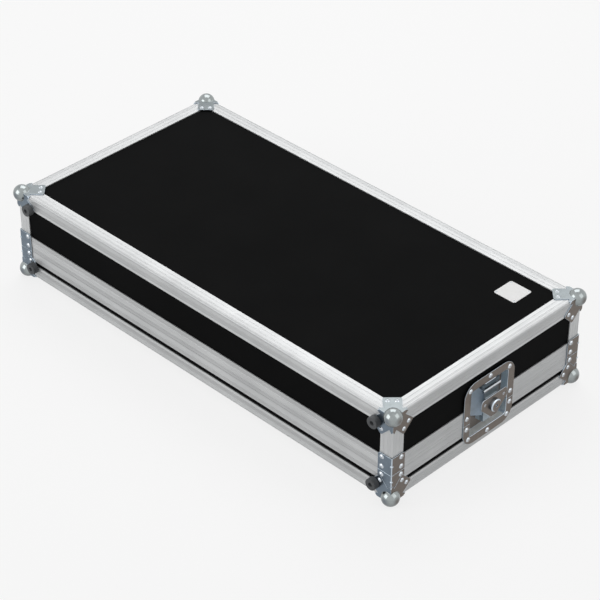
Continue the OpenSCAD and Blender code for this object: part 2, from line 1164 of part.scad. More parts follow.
module hood_foam() {
  color("Gray") set_down()
    difference() {
      on_top() foam(top_foam_t);
      latch_room();
    }
}

module label_plate() {
  color("White") set_down() at_label() linear_extrude(label_t) rounded(label_w, label_w, small_rivet_r * 2);
}

module dish_right() {
  color("SteelBlue") set_down() at_latch(0) dish();
}

module pad_right() {
  color("Black") set_down() at_latch(0) pad();
}

module spindle_right() {
  color("Khaki") set_down() at_latch(0) spindle();
}

module wing_right() {
  color("Peru") set_down() at_latch(0) wing();
}

module claw_right() {
  color("Tan") set_down() at_latch(0) claw();
}

module dish_left() {
  color("SteelBlue") set_down() at_latch(1) dish();
}

module pad_left() {
  color("Black") set_down() at_latch(1) pad();
}

module spindle_left() {
  color("Khaki") set_down() at_latch(1) spindle();
}

module wing_left() {
  color("Peru") set_down() at_latch(1) wing();
}

module claw_left() {
  color("Tan") set_down() at_latch(1) claw();
}

module handle_plate() {
  color("SlateGray") set_down() at_handle() handle_plate_body();
}

module handle_bail() {
  color("Silver") set_down() at_handle() bail();
}

module handle_grip() {
  color("Black") set_down() at_handle() grip();
}

base_floor();
base_panel_front();
base_panel_right();
base_panel_back();
base_panel_left();
base_edge_front();
base_edge_right();
base_edge_back();
base_edge_left();
base_posts();
base_rim_front();
base_rim_right();
base_rim_back();
base_rim_left();
base_corner_front_right();
base_corner_back_right();
base_corner_back_left();
base_corner_front_left();
base_braces();
base_fasteners();
base_feet();
base_foam();
keep_right();
keep_left();
hood_top();
hood_panel_front();
hood_panel_right();
hood_panel_back();
hood_panel_left();
hood_edge_front();
hood_edge_right();
hood_edge_back();
hood_edge_left();
hood_posts();
hood_rim_front();
hood_rim_right();
hood_rim_back();
hood_rim_left();
hood_corner_front_right();
hood_corner_back_right();
hood_corner_back_left();
hood_corner_front_left();
hood_braces();
hood_fasteners();
hood_feet();
hood_foam();
label_plate();
dish_right();
pad_right();
spindle_right();
wing_right();
claw_right();
dish_left();
pad_left();
spindle_left();
wing_left();
claw_left();
handle_plate();
handle_bail();
handle_grip();
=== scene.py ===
import math

import bmesh
import bpy
from mathutils import Euler, Matrix, Vector


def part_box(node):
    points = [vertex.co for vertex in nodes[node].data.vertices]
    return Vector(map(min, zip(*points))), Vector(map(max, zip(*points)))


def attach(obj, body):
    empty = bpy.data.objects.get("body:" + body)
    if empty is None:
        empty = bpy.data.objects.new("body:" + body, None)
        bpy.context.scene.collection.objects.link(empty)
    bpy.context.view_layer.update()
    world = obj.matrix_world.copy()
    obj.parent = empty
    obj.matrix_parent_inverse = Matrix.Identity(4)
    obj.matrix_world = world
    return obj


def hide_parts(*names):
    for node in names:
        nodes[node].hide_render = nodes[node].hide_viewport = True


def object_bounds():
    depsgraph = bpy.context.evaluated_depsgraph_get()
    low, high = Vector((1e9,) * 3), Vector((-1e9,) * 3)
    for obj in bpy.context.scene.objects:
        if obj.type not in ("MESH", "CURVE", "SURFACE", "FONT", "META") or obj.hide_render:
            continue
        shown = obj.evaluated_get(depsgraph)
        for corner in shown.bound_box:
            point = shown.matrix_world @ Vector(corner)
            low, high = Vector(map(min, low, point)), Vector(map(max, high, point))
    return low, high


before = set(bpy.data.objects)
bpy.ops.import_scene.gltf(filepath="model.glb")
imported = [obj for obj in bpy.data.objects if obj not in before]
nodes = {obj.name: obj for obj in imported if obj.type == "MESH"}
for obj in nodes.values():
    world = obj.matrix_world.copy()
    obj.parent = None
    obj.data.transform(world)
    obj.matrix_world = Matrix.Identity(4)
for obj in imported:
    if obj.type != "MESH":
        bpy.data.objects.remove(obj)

# Lengths are in metres
cadLow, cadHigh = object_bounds()
print("case frame loaded:", len(nodes), "nodes")

# Materials

def newMaterial(name):
    material = bpy.data.materials.new(name)
    material.use_nodes = True
    tree = material.node_tree
    tree.nodes.clear()
    output = tree.nodes.new("ShaderNodeOutputMaterial")
    shader = tree.nodes.new("ShaderNodeBsdfPrincipled")
    tree.links.new(shader.outputs["BSDF"], output.inputs["Surface"])
    return material, tree, shader


def objectPoints(tree, scale=(1, 1, 1)):
    coords = tree.nodes.new("ShaderNodeTexCoord")
    mapping = tree.nodes.new("ShaderNodeMapping")
    mapping.inputs["Scale"].default_value = scale
    tree.links.new(coords.outputs["Object"], mapping.inputs["Vector"])
    return mapping.outputs["Vector"]


def noise(tree, vector, scale, detail=4.0, rough=0.55):
    node = tree.nodes.new("ShaderNodeTexNoise")
    node.inputs["Scale"].default_value = scale
    node.inputs["Detail"].default_value = detail
    node.inputs["Roughness"].default_value = rough
    tree.links.new(vector, node.inputs["Vector"])
    return node.outputs["Fac"]


def ramp(tree, value, stops):
    node = tree.nodes.new("ShaderNodeValToRGB")
    while len(node.color_ramp.elements) < len(stops):
        node.color_ramp.elements.new(0.5)
    for element, (place, colour) in zip(node.color_ramp.elements, stops):
        element.position = place
        element.color = (*colour, 1)
    tree.links.new(value, node.inputs["Fac"])
    return node.outputs["Color"]


def spread(tree, value, low, high, fromLow=0.3, fromHigh=0.7):
    node = tree.nodes.new("ShaderNodeMapRange")
    node.inputs["From Min"].default_value = fromLow
    node.inputs["From Max"].default_value = fromHigh
    node.inputs["To Min"].default_value = low
    node.inputs["To Max"].default_value = high
    tree.links.new(value, node.inputs["Value"])
    return node.outputs["Result"]


def mixColours(tree, factor, first, second, how="MIX"):
    node = tree.nodes.new("ShaderNodeMix")
    node.data_type = "RGBA"
    node.blend_type = how
    for socket, value in ((node.inputs[0], factor), (node.inputs[6], first), (node.inputs[7], second)):
        if isinstance(value, bpy.types.NodeSocket):
            tree.links.new(value, socket)
        else:
            socket.default_value = value
    return node.outputs[2]    # inputs 6 and 7 are the colours, output 2 their mix


def bump(tree, shader, height, strength, distance):
    node = tree.nodes.new("ShaderNodeBump")
    node.inputs["Strength"].default_value = strength
    node.inputs["Distance"].default_value = distance
    tree.links.new(height, node.inputs["Height"])
    tree.links.new(node.outputs["Normal"], shader.inputs["Normal"])


def cloudTones(tree, cloud, look, darkUpTo=0.3, lightFrom=0.7):
    return ramp(tree, cloud, [(darkUpTo, look["dark"]), (lightFrom, look["light"])])


laminate = {
    "dark": (0.0018, 0.0019, 0.0020),
    "light": (0.0034, 0.0035, 0.0036),
    "scuff": (0.008, 0.008, 0.008, 1),
    "specular": 0.02,
    "rough": (0.5, 0.62),
    "cloudScale": 9.0,
    "grainScale": 900.0,
    "grainBump": (0.4, 0.0001),    # strength, depth
    "scuffScale": (40, 260, 260),
    "scuffRange": (0.64, 0.8),
    "scuffShare": 0.4,
}


def makeLaminate():
    material, tree, shader = newMaterial("blackLaminate")
    points = objectPoints(tree)
    cloud = noise(tree, points, laminate["cloudScale"], 5.0)
    grain = noise(tree, points, laminate["grainScale"], 2.0)
    scuff = noise(tree, objectPoints(tree, laminate["scuffScale"]), 1.0, 6.0, 0.7)
    base = cloudTones(tree, cloud, laminate)
    worn = spread(tree, scuff, 0.0, laminate["scuffShare"], *laminate["scuffRange"])
    tree.links.new(mixColours(tree, worn, base, laminate["scuff"]), shader.inputs["Base Color"])
    tree.links.new(spread(tree, grain, *laminate["rough"]), shader.inputs["Roughness"])
    shader.inputs["Specular IOR Level"].default_value = laminate["specular"]
    bump(tree, shader, grain, *laminate["grainBump"])
    return material


# Outer faces of the edging, and the closing band's lowest and highest points
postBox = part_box("base_posts")
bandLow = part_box("base_rim_front")[0][2]
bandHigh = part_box("hood_rim_front")[1][2]
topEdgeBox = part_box("hood_edge_front")
faceLow = Vector((postBox[0][0], postBox[0][1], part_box("base_edge_front")[0][2]))
faceHigh = Vector((postBox[1][0], postBox[1][1], topEdgeBox[1][2]))

edging = {
    "dark": (0.585, 0.595, 0.60),
    "light": (0.685, 0.695, 0.70),
    "darkUpTo": 0.25,
    "mark": (0.40, 0.41, 0.42, 1),
    "metallic": 0.45,
    "rough": (0.42, 0.5),
    "cloudScale": 14.0,
    "markScale": 190.0,
    "markRange": (0.68, 0.8),
    "markShare": 0.35,
    "streakAlong": 4.0,
    "streakAcross": 1100.0,
    "streakBump": (0.18, 0.00003),    # strength, depth
    "lineAlong": 1.2,
    "lineAcross": 360.0,
    "lineTones": [(0.35, 0.92), (0.62, 1.0)],
    "flange": topEdgeBox[1][2] - topEdgeBox[0][2],
    # painted light and shade of the extrusion's ribs and grooves, with a painted highlight at the nose:
    # distance from the nose as a share of the flange, tone
    "levelRibLight": [(0.0, 0.86), (0.04, 0.68), (0.09, 0.90), (0.27, 0.94), (0.32, 0.76), (0.37, 0.98),
                  (0.6, 1.0), (0.65, 0.90), (0.7, 1.0)],
    "longRibLight": [(0.0, 0.98), (0.07, 1.06), (0.15, 0.80), (0.2, 1.04), (0.42, 1.02), (0.5, 0.86),
                 (0.78, 0.86), (0.84, 1.12), (0.95, 1.04)],
    "endRibLight": [(0.0, 0.96), (0.15, 0.92), (0.8, 0.92), (0.87, 1.15), (0.95, 1.0)],
    "postRibLight": [(0.0, 1.3), (0.07, 1.1), (0.12, 1.06), (0.35, 1.0), (0.4, 1.1), (0.6, 1.04), (1.0, 1.0)],
    # painted light and shade of the closing band's ribs: place up from its low edge as a share of its
    # height, tone
    "longBandLight": [(0.0, 0.92), (0.16, 0.88), (0.2, 1.06), (0.37, 1.04), (0.4, 0.88), (0.58, 0.88),
                 (0.62, 1.05), (0.8, 1.05), (0.84, 0.88), (0.95, 0.92), (1.0, 1.08)],
    "endBandLight": [(0.0, 0.92), (0.4, 0.95), (0.9, 0.92), (1.0, 1.0)],
}


def grey(stops):
    return [(place, (tone, tone, tone)) for place, tone in stops]


def flangeShares(tree):
    # Distances from the case's outer faces, in flange widths, on the three axes
    coords = tree.nodes.new("ShaderNodeTexCoord")
    vector = coords.outputs["Object"]
    middle = (faceLow + faceHigh) / 2
    half = (faceHigh - faceLow) / 2
    inwards = Vector((-1, -1, -1)) / edging["flange"]
    steps = (("SUBTRACT", middle), ("ABSOLUTE", None), ("SUBTRACT", half), ("MULTIPLY", inwards))
    for operation, value in steps:
        node = tree.nodes.new("ShaderNodeVectorMath")
        node.operation = operation
        tree.links.new(vector, node.inputs[0])
        if value is not None:
            node.inputs[1].default_value = value
        vector = node.outputs["Vector"]
    parts = tree.nodes.new("ShaderNodeSeparateXYZ")
    tree.links.new(vector, parts.inputs["Vector"])
    return parts


def paintedBandLight(tree, axis):
    coords = tree.nodes.new("ShaderNodeTexCoord")
    height = tree.nodes.new("ShaderNodeSeparateXYZ")
    tree.links.new(coords.outputs["Object"], height.inputs["Vector"])
    share = spread(tree, height.outputs["Z"], 0.0, 1.0, bandLow, bandHigh)
    return ramp(tree, share, grey(edging["longBandLight" if axis == 0 else "endBandLight"]))


def paintedRibLight(tree, axis):
    parts = flangeShares(tree)
    normals = normalShares(tree)[0]
    if axis == 2:
        long = ramp(tree, parts.outputs["X"], grey(edging["postRibLight"]))
        end = ramp(tree, parts.outputs["Y"], grey(edging["postRibLight"]))
        return mixColours(tree, normals.outputs["X"], long, end)
    # level and side faces take their own painted light and shade
    level = ramp(tree, parts.outputs["Y" if axis == 0 else "X"], grey(edging["levelRibLight"]))
    side = ramp(tree, parts.outputs["Z"], grey(edging["longRibLight" if axis == 0 else "endRibLight"]))
    return mixColours(tree, normals.outputs["Z"], side, level)


def makeEdging(axis, band=False):
    material, tree, shader = newMaterial("edging" + "XYZ"[axis] + ("Band" if band else ""))
    scale = [edging["streakAcross"]] * 3
    scale[axis] = edging["streakAlong"]
    streak = noise(tree, objectPoints(tree, scale), 1.0, 3.0)
    cloud = noise(tree, objectPoints(tree), edging["cloudScale"], 4.0)
    mark = noise(tree, objectPoints(tree, [edging["markScale"]] * 3), 1.0, 8.0, 0.75)
    lineScale = [edging["lineAcross"]] * 3
    lineScale[axis] = edging["lineAlong"]
    line = noise(tree, objectPoints(tree, lineScale), 1.0, 2.0)
    base = cloudTones(tree, cloud, edging, edging["darkUpTo"])
    base = mixColours(tree, 1.0, base, ramp(tree, line, grey(edging["lineTones"])), "MULTIPLY")
    # painted light and shade of the ribs and grooves
    tone = paintedBandLight(tree, axis) if band else paintedRibLight(tree, axis)
    base = mixColours(tree, 1.0, base, tone, "MULTIPLY")
    worn = spread(tree, mark, 0.0, edging["markShare"], *edging["markRange"])
    tree.links.new(mixColours(tree, worn, base, edging["mark"]), shader.inputs["Base Color"])
    shader.inputs["Metallic"].default_value = edging["metallic"]
    tree.links.new(spread(tree, streak, *edging["rough"]), shader.inputs["Roughness"])
    bump(tree, shader, streak, *edging["streakBump"])
    return material


# The passivation's bluish and brownish tints are laid by face direction as painted light and shade: level
# faces lightest, long-side faces bluish, end faces brownish, and a painted highlight where a face turns
# between the main directions
zinc = {
    "zincSheet": {
        "flat": (0.21, 0.233, 0.242), "long": (0.168, 0.209, 0.252), "end": (0.160, 0.137, 0.120),
        "edge": (0.62, 0.70, 0.78), "rough": (0.26, 0.38), "metallic": 1.0,
    },
    "zincBright": {
        "flat": (0.30, 0.33, 0.34), "long": (0.26, 0.31, 0.36), "end": (0.27, 0.25, 0.235),
        "edge": (0.60, 0.64, 0.68), "rough": (0.16, 0.26), "metallic": 1.0,
    },
    # painted light: pale walls stand in for light that the recess does not get
    "zincPocketPaintedLight": {
        "flat": (0.97, 1.0, 0.99), "long": (0.74, 0.90, 1.0), "end": (0.22, 0.19, 0.167),
        "edge": (0.56, 0.70, 0.85), "rough": (0.34, 0.46), "metallic": 0.15,
    },
    # painted light: the claw's plate is paled where it lies in the wing's shade
    "zincClawPaintedLight": {
        "flat": (0.80, 0.86, 0.88), "long": (0.40, 0.50, 0.58), "end": (0.38, 0.45, 0.50),
        "edge": (0.70, 0.76, 0.80), "rough": (0.30, 0.42), "metallic": 0.5,
    },
    # the ball's tints paint its light by direction: a painted highlight between the main directions and
    # painted shade over its lower half
    "zincBall": {
        "flat": (0.29, 0.315, 0.32), "long": (0.20, 0.225, 0.25), "end": (0.17, 0.16, 0.15),
        "edge": (0.35, 0.38, 0.38), "rough": (0.15, 0.22), "metallic": 1.0, "under": (-0.85, 0.05),
    },
    "mottleScale": 110.0,
    "mottleTones": [(0.32, 0.84), (0.68, 1.0)],
    "waveScale": 30.0,
    "fineScale": 1400.0,
    "fineBump": (0.2, 0.00003),    # strength, depth
    "under": (-0.9, -0.1),         # slope below which a face takes the whole painted shade, and above which it takes none
    "underShadeTones": [(0.0, 0.42), (1.0, 1.0)],
}


def normalShares(tree):
    # Squares of the normal's parts, and how far it lies between the main directions
    coords = tree.nodes.new("ShaderNodeTexCoord")
    vector = coords.outputs["Normal"]
    powers = []
    while len(powers) < 2:
        node = tree.nodes.new("ShaderNodeVectorMath")
        node.operation = "MULTIPLY"
        tree.links.new(vector, node.inputs[0])
        tree.links.new(vector, node.inputs[1])
        vector = node.outputs["Vector"]
        powers.append(vector)
    parts = tree.nodes.new("ShaderNodeSeparateXYZ")
    tree.links.new(powers[0], parts.inputs["Vector"])
    total = tree.nodes.new("ShaderNodeVectorMath")
    total.operation = "DOT_PRODUCT"
    total.inputs[1].default_value = (1, 1, 1)
    tree.links.new(powers[1], total.inputs[0])
    return parts, spread(tree, total.outputs["Value"], 1.0, 0.0, 0.5, 1.0)


def paintedUnderShade(tree, fullShadeBelow, noShadeAbove):
    # Painted shade: faces that look down are darkened
    coords = tree.nodes.new("ShaderNodeTexCoord")
    parts = tree.nodes.new("ShaderNodeSeparateXYZ")
    tree.links.new(coords.outputs["Normal"], parts.inputs["Vector"])
    return ramp(tree, spread(tree, parts.outputs["Z"], 0.0, 1.0, fullShadeBelow, noShadeAbove), grey(zinc["underShadeTones"]))


def makeZinc(name):
    look = zinc[name]
    material, tree, shader = newMaterial(name)
    points = objectPoints(tree)
    parts, between = normalShares(tree)
    litAndShadedTints = {key: look[key] + (1,) for key in ("flat", "long", "end", "edge")}
    # painted light and shade by face direction, then a painted highlight on faces between the main
    # directions
    toned = mixColours(tree, parts.outputs["X"], litAndShadedTints["flat"], litAndShadedTints["end"])
    toned = mixColours(tree, parts.outputs["Y"], toned, litAndShadedTints["long"])
    toned = mixColours(tree, between, toned, litAndShadedTints["edge"])
    # painted shade on faces that look down
    toned = mixColours(tree, 1.0, toned, paintedUnderShade(tree, *look.get("under", zinc["under"])), "MULTIPLY")
    mottle = noise(tree, points, zinc["mottleScale"], 5.0, 0.6)
    wave = noise(tree, points, zinc["waveScale"], 3.0)
    fine = noise(tree, points, zinc["fineScale"], 2.0)
    shade = ramp(tree, mottle, grey(zinc["mottleTones"]))
    tree.links.new(mixColours(tree, 1.0, toned, shade, "MULTIPLY"), shader.inputs["Base Color"])
    shader.inputs["Metallic"].default_value = look["metallic"]
    tree.links.new(spread(tree, wave, *look["rough"]), shader.inputs["Roughness"])
    bump(tree, shader, fine, *zinc["fineBump"])
    return material


rubber = {
    "footRubber": {"dark": (0.10, 0.105, 0.11), "light": (0.135, 0.14, 0.145), "rough": (0.64, 0.8)},
    # the pad's dark bluish rubber also paints the shade in the recess above the wing
    "padRubberAndShade": {"dark": (0.09, 0.125, 0.155), "light": (0.12, 0.16, 0.19), "rough": (0.42, 0.58)},
    "gripRubber": {"dark": (0.012, 0.012, 0.013), "light": (0.02, 0.02, 0.021), "rough": (0.52, 0.68)},
    "cloudScale": 60.0,
    "grainScale": 1600.0,
    "grainBump": (0.5, 0.00008),    # strength, depth
    "specular": 0.35,
}


def makeRubber(name):
    look = rubber[name]
    material, tree, shader = newMaterial(name)
    points = objectPoints(tree)
    cloud = noise(tree, points, rubber["cloudScale"], 4.0)
    grain = noise(tree, points, rubber["grainScale"], 2.0)
    base = cloudTones(tree, cloud, look)
    tree.links.new(base, shader.inputs["Base Color"])
    tree.links.new(spread(tree, grain, *look["rough"]), shader.inputs["Roughness"])
    shader.inputs["Specular IOR Level"].default_value = rubber["specular"]
    bump(tree, shader, grain, *rubber["grainBump"])
    return material


foam = {
    "dark": (0.030, 0.031, 0.034),
    "light": (0.045, 0.046, 0.05),
    # painted shade inside the pores
    "pore": (0.008, 0.008, 0.009, 1),
    "poreShare": 0.7,
    "poreRange": (0.5, 0.35),     # noise without a pore, and in the middle of one
    "poreScale": 1100.0,
    "poreBump": (0.8, 0.0006),    # strength, depth
    "cloudScale": 25.0,
    "rough": 0.95,
    "specular": 0.1,
}


def makeFoam():
    material, tree, shader = newMaterial("foamLining")
    points = objectPoints(tree)
    pores = noise(tree, points, foam["poreScale"], 3.0, 0.65)
    cloud = noise(tree, points, foam["cloudScale"], 4.0)
    base = cloudTones(tree, cloud, foam)
    # painted shade, deepest in the middle of each pore
    poreShadeShare = spread(tree, pores, 0.0, foam["poreShare"], *foam["poreRange"])
    shaded = mixColours(tree, poreShadeShare, base, foam["pore"])
    tree.links.new(shaded, shader.inputs["Base Color"])
    shader.inputs["Roughness"].default_value = foam["rough"]
    shader.inputs["Specular IOR Level"].default_value = foam["specular"]
    bump(tree, shader, pores, *foam["poreBump"])
    return material


label = {
    "dark": (0.93, 0.93, 0.92),
    "light": (0.97, 0.97, 0.97),
    "rough": (0.32, 0.42),
    "cloudScale": 80.0,
    "grainScale": 900.0,
    "grainBump": (0.2, 0.00003),    # strength, depth
}


def makeLabel():
    material, tree, shader = newMaterial("labelPlate")
    points = objectPoints(tree)
    cloud = noise(tree, points, label["cloudScale"], 4.0)
    grain = noise(tree, points, label["grainScale"], 2.0)
    base = cloudTones(tree, cloud, label)
    tree.links.new(base, shader.inputs["Base Color"])
    tree.links.new(spread(tree, cloud, *label["rough"]), shader.inputs["Roughness"])
    bump(tree, shader, grain, *label["grainBump"])
    return material


blackLaminate = makeLaminate()
edgingAlong = [makeEdging(axis) for axis in range(3)]
bandAlong = [makeEdging(axis, True) for axis in range(2)]
zincSheet = makeZinc("zincSheet")
zincBright = makeZinc("zincBright")
zincPocketPaintedLight = makeZinc("zincPocketPaintedLight")
zincBall = makeZinc("zincBall")
zincClawPaintedLight = makeZinc("zincClawPaintedLight")
footRubber = makeRubber("footRubber")
padRubberAndShade = makeRubber("padRubberAndShade")
gripRubber = makeRubber("gripRubber")
foamLining = makeFoam()
labelPlate = makeLabel()
print("materials made")


def dress(material, names):
    for name in names:
        slots = nodes[name].data.materials
        if len(slots) == 0:
            slots.append(material)
        for index in range(len(slots)):
            slots[index] = material


sides = ("front", "right", "back", "left")
cornerNames = ("front_right", "back_right", "back_left", "front_left")
dress(blackLaminate, ["base_floor", "hood_top"])
for index, side in enumerate(sides):
    dress(blackLaminate, [half + "_panel_" + side for half in ("base", "hood")])
    dress(edgingAlong[index % 2], [half + "_edge_" + side for half in ("base", "hood")])
    dress(bandAlong[index % 2], [half + "_rim_" + side for half in ("base", "hood")])
dress(edgingAlong[2], ["base_posts", "hood_posts"])
dress(zincBright, ["base_fasteners", "hood_fasteners"])
print("nodes dressed")

# Pieces with rounded edges, copied from the nodes they stand for

def finishPiece(name, bm, body, materials, source):
    # Flat faces keep flat shading: each point's normal follows its largest faces
    bm.verts.ensure_lookup_table()
    normals = []
    for vert in bm.verts:
        total = Vector((0, 0, 0))
        for face in vert.link_faces:
            total += face.normal * face.calc_area()
        normals.append(total.normalized())
    mesh = bpy.data.meshes.new(name)
    bm.to_mesh(mesh)
    bm.free()
    mesh.shade_smooth()
    mesh.normals_split_custom_set_from_vertices(normals)
    for material in materials:
        mesh.materials.append(material)
    piece = bpy.data.objects.new(name, mesh)
    bpy.context.scene.collection.objects.link(piece)
    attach(piece, body)
    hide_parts(source)
    return piece


rounding = {
    "mergeWithin": 0.000002,
    "flatWithin": math.radians(1),
    "tidyWithin": 0.000001,
    "segments": 2,
    "sharpAngle": 30,
}


def mergedCopy(source):
    bm = bmesh.new()
    bm.from_mesh(nodes[source].data)
    bmesh.ops.remove_doubles(bm, verts=bm.verts, dist=rounding["mergeWithin"])
    bmesh.ops.dissolve_limit(bm, angle_limit=rounding["flatWithin"], verts=bm.verts, edges=bm.edges)
    return bm


def roundEdges(bm, width, clamp=False, angle=rounding["sharpAngle"], chosen=None):
    sharp = chosen or [edge for edge in bm.edges if edge.calc_face_angle(0) > math.radians(angle)]
    bmesh.ops.bevel(bm, geom=sharp, offset=width, offset_type="OFFSET", affect="EDGES",
                    segments=rounding["segments"], profile=0.5, material=-1, clamp_overlap=clamp)
    bmesh.ops.remove_doubles(bm, verts=bm.verts, dist=rounding["tidyWithin"])
    bm.normal_update()


# piece: node, body, edge radius, angle of the sharp edges, slot, material
plainPieces = {
    "wingPlateRight": ("wing_right", "latch_right", 0.0005, 50, "zinc_steel", zincSheet),
    "wingPlateLeft": ("wing_left", "latch_left", 0.0005, 50, "zinc_steel", zincSheet),
    "turnHeadRight": ("spindle_right", "latch_right", 0.0003, 30, "zinc_steel", zincSheet),
    "turnHeadLeft": ("spindle_left", "latch_left", 0.0003, 30, "zinc_steel", zincSheet),
    "gripPadRight": ("pad_right", "hood", 0.0008, 30, "pad_rubber", padRubberAndShade),
    "gripPadLeft": ("pad_left", "hood", 0.0008, 30, "pad_rubber", padRubberAndShade),
    "baseBraces": ("base_braces", "base", 0.0004, 30, "zinc_steel", zincSheet),
    "hoodBraces": ("hood_braces", "hood", 0.0004, 30, "zinc_steel", zincSheet),
    "baseFeet": ("base_feet", "base", 0.0006, 30, "foot_rubber", footRubber),
    "hoodFeet": ("hood_feet", "hood", 0.0006, 30, "foot_rubber", footRubber),
    "handleBacking": ("handle_plate", "hood", 0.0005, 30, "zinc_steel", zincSheet),
    "blankLabel": ("label_plate", "hood", 0.0004, 30, "label", labelPlate),
}
for pieceName, (source, body, width, angle, slotName, material) in plainPieces.items():
    shape = mergedCopy(source)
    roundEdges(shape, width, angle=angle)
    finishPiece(pieceName, shape, body, [material], source)

ball = {
    "radius": 0.01325,
    "slack": 0.0002,      # how far a face of the ball may lie from the true sphere
    "legEdge": 0.0003,
    "middle": (0.0, 0.0, (cadLow[2] + cadHigh[2]) / 2),
}


def makeCorner(name, source, body):
    # The ball's own faces are polished, the legs keep the sheet's finish
    bm = mergedCopy(source)
    low, high = (Vector(corner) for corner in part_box(source))
    centre = Vector((0, 0, 0))
    for axis, middle in enumerate(ball["middle"]):
        outer = high[axis] if high[axis] > middle else low[axis]
        centre[axis] = outer - math.copysign(ball["radius"], outer - middle)
    roundEdges(bm, ball["legEdge"])
    for face in bm.faces:
        gap = abs((face.calc_center_median() - centre).length - ball["radius"])
        face.material_index = 1 if gap < ball["slack"] else 0
    finishPiece(name, bm, body, [zincSheet, zincBall], source)


bailEdge = 0.0005
bail = mergedCopy("handle_bail")
roundEdges(bail, bailEdge, True)
finishPiece("wireBail", bail, "handle", [zincBright], "handle_bail")
for corner in cornerNames:
    for half in ("base", "hood"):
        makeCorner(half + "Corner" + corner.title().replace("_", ""), half + "_corner_" + corner, half)
print("edges rounded")

# Latch dishes: the flange is plain sheet, the pocket behind it gets a paler zinc whose painted light
# brightens its shaded walls

pocket = {
    "sheet": 0.0015,
    "edge": 0.0004,
    "depth": 0.0003,      # where the pocket begins, behind the case's end face
    "curl": 0.0045,       # height of the claw's polished curl
    "clawEdge": 0.0003,
    "brim": 0.0011,
    "brimLevel": 0.001,   # the brim's edges stand at least this far in front of the end face
    "brimAngle": 50,
    "edgeAngle": 60,
    "halfWidth": 0.0395,
    "halfHeight": 0.0405,
}
upperBox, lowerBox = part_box("dish_right"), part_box("keep_right")
endFace = upperBox[1][0] - pocket["sheet"]
latchAcross = (upperBox[0][1] + upperBox[1][1]) / 2
latchHeight = (upperBox[1][2] + lowerBox[0][2]) / 2


def makeDish(name, source, body, sign):
    bm = mergedCopy(source)
    brim = []
    for edge in bm.edges:
        level = [vert.co.x * sign for vert in edge.verts]
        inner = all(abs(vert.co.y - latchAcross) < pocket["halfWidth"] and
                    abs(vert.co.z - latchHeight) < pocket["halfHeight"] for vert in edge.verts)
        sharp = edge.calc_face_angle(0) > math.radians(pocket["brimAngle"])
        if inner and sharp and min(level) > endFace + pocket["brimLevel"]:
            brim.append(edge)
    roundEdges(bm, pocket["brim"], chosen=brim)
    roundEdges(bm, pocket["edge"], angle=pocket["edgeAngle"])
    # faces behind the end face take the pocket's painted light
    for face in bm.faces:
        out = face.calc_center_median().x * sign
        face.material_index = 1 if out < endFace - pocket["depth"] else 0
    finishPiece(name, bm, body, [zincSheet, zincPocketPaintedLight], source)


def makeClaw(name, source, body):
    bm = mergedCopy(source)
    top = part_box(source)[1][2]
    roundEdges(bm, pocket["clawEdge"])
    for face in bm.faces:
        face.material_index = 1 if face.calc_center_median().z > top - pocket["curl"] else 0
    finishPiece(name, bm, body, [zincClawPaintedLight, zincBright], source)


for side, sign in (("right", 1), ("left", -1)):
    makeClaw("clawPlate" + side.title(), "claw_" + side, "claw_" + side)
    makeDish("upperDish" + side.title(), "dish_" + side, "hood", sign)
    makeDish("lowerDish" + side.title(), "keep_" + side, "base", sign)
print("latch dishes made")

# Handle grip: a ribbed rubber sleeve on the bail

gripShape = {
    "pitch": 0.006,
    "rib": 0.0006,
    "ribShares": ((0.30, 0), (0.42, 1), (0.88, 1), (1.0, 0)),    # place along one pitch, down or up
    "plainEnd": 0.002,
    "chamfer": 0.0015,
    "steps": 40,
    "bore": 0.0031,
}


def makeGrip():
    low, high = (Vector(corner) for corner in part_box("handle_grip"))
    middle = (low + high) / 2
    radius = (high.z - low.z) / 2
    length = high.x - low.x
    count = int((length - 2 * gripShape["plainEnd"]) / gripShape["pitch"])
    start = -count * gripShape["pitch"] / 2
    end, chamfer = length / 2, gripShape["chamfer"]
    outline = [(-end, radius - chamfer), (-end + chamfer, radius)]
    for index in range(count):
        place = start + index * gripShape["pitch"]
        for share, drop in gripShape["ribShares"]:
            outline.append((place + share * gripShape["pitch"], radius - drop * gripShape["rib"]))
    outline += [(end - chamfer, radius), (end, radius - chamfer)]
    outline += [(end, gripShape["bore"]), (-end, gripShape["bore"])]
    bm = bmesh.new()
    points = [bm.verts.new((middle.x + x, middle.y, middle.z + r)) for x, r in outline]
    edges = [bm.edges.new((points[i - 1], points[i])) for i in range(len(points))]
    bmesh.ops.spin(bm, geom=points + edges, cent=middle, axis=(1, 0, 0), dvec=(0, 0, 0), angle=2 * math.pi,
                   steps=gripShape["steps"], use_merge=True, use_duplicate=False)
    bmesh.ops.remove_doubles(bm, verts=bm.verts, dist=rounding["tidyWithin"])
    bmesh.ops.recalc_face_normals(bm, faces=bm.faces)
    bm.normal_update()
    finishPiece("ribbedGrip", bm, "handle", [gripRubber], "handle_grip")


makeGrip()
print("grip made")

# Foam: a flat pad with soft edges on the floor, an egg-crate sheet under the top

foamPad = {
    "cell": 0.0065,
    "edgeRadius": 0.006,
    "inset": 0.0004,
    "crown": 0.0008,
    "wavePitch": 0.032,
    "waveDepth": 0.0075,
    "fill": 0.8,
}


def edgeDrop(distance, radius):
    # How far a rounded edge falls below the face, at a distance from the side
    if distance >= radius:
        return 0.0
    return radius - math.sqrt(max(0.0, radius * radius - (radius - distance) ** 2))


